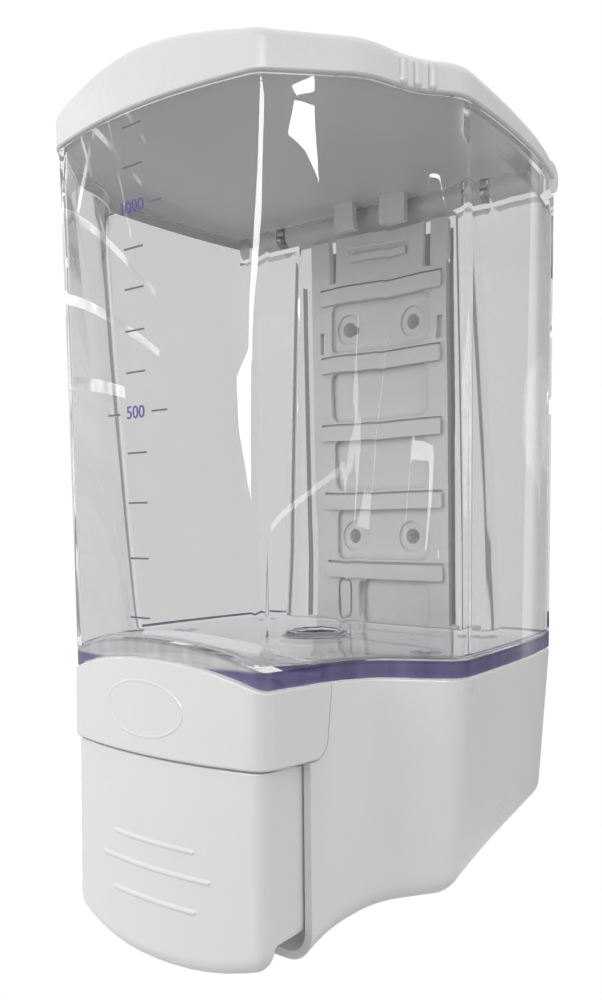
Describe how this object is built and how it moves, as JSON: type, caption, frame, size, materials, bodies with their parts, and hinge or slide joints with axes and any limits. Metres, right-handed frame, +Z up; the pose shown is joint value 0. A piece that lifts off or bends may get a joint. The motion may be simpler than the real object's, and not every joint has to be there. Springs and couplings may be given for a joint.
{
  "type": "wall mounted soap dispenser",
  "caption": "Wall-hung soap dispenser with a clear tapering tank, hinged white lid and a front push lever that lifts a spring-loaded pump.",
  "frame": {"origin": "centre of the four wall screw holes, on the wall plane", "axes": "+X to the right seen from the front, +Y into the wall, +Z up"},
  "size_m": [0.1252, 0.1116, 0.2106],
  "materials": {
    "white_plastic": "moulded, satin gloss",
    "clear_plastic": "clear moulded, faint violet tint",
    "natural_plastic": "unpainted moulded",
    "steel": "stainless",
    "black_rubber": "moulded",
    "silicone": "translucent silicone"
  },
  "bodies": {
    "dispenser": {"wall_bracket": "white_plastic", "tank": "clear_plastic", "base_housing": "white_plastic", "base_screws": "steel", "front_hood": "white_plastic", "hood_screws": "steel", "lever_pivot_pin": "steel", "lid_hinge_pins": "steel", "pump_gasket": "black_rubber", "pump_body": "natural_plastic", "pump_nut": "white_plastic", "inlet_valve": "silicone"},
    "lid": {"lid": "white_plastic"},
    "lever": {"push_lever": "white_plastic"},
    "plunger": {"plunger_stem": "natural_plastic", "lift_collar": "white_plastic", "piston_seal": "black_rubber", "outlet_valve": "silicone", "nozzle": "white_plastic", "pump_spring": "steel"}
  },
  "joints": [
    {"name": "lid_hinge", "type": "hinge", "parent": "dispenser", "child": "lid", "pos_m": [0, -0.0062, 0.068], "axis": [-1, 0, 0], "range_deg": [0, 78]},
    {"name": "lever_press", "type": "hinge", "parent": "dispenser", "child": "lever", "pos_m": [0, -0.098, -0.0736], "axis": [1, 0, 0], "range_deg": [0, 8], "stiffness_Nm_per_rad": 1.27, "springref_deg": -3.04},
    {"name": "plunger_lift", "type": "slide", "parent": "dispenser", "child": "plunger", "axis": [0, 0, 1], "range_m": [0, 0.0079], "deforming": ["pump_spring"]}
  ],
  "couplings": [
    {"joint": "plunger_lift", "follows": "lever_press", "m_per_rad": 0.0563}
  ]
}
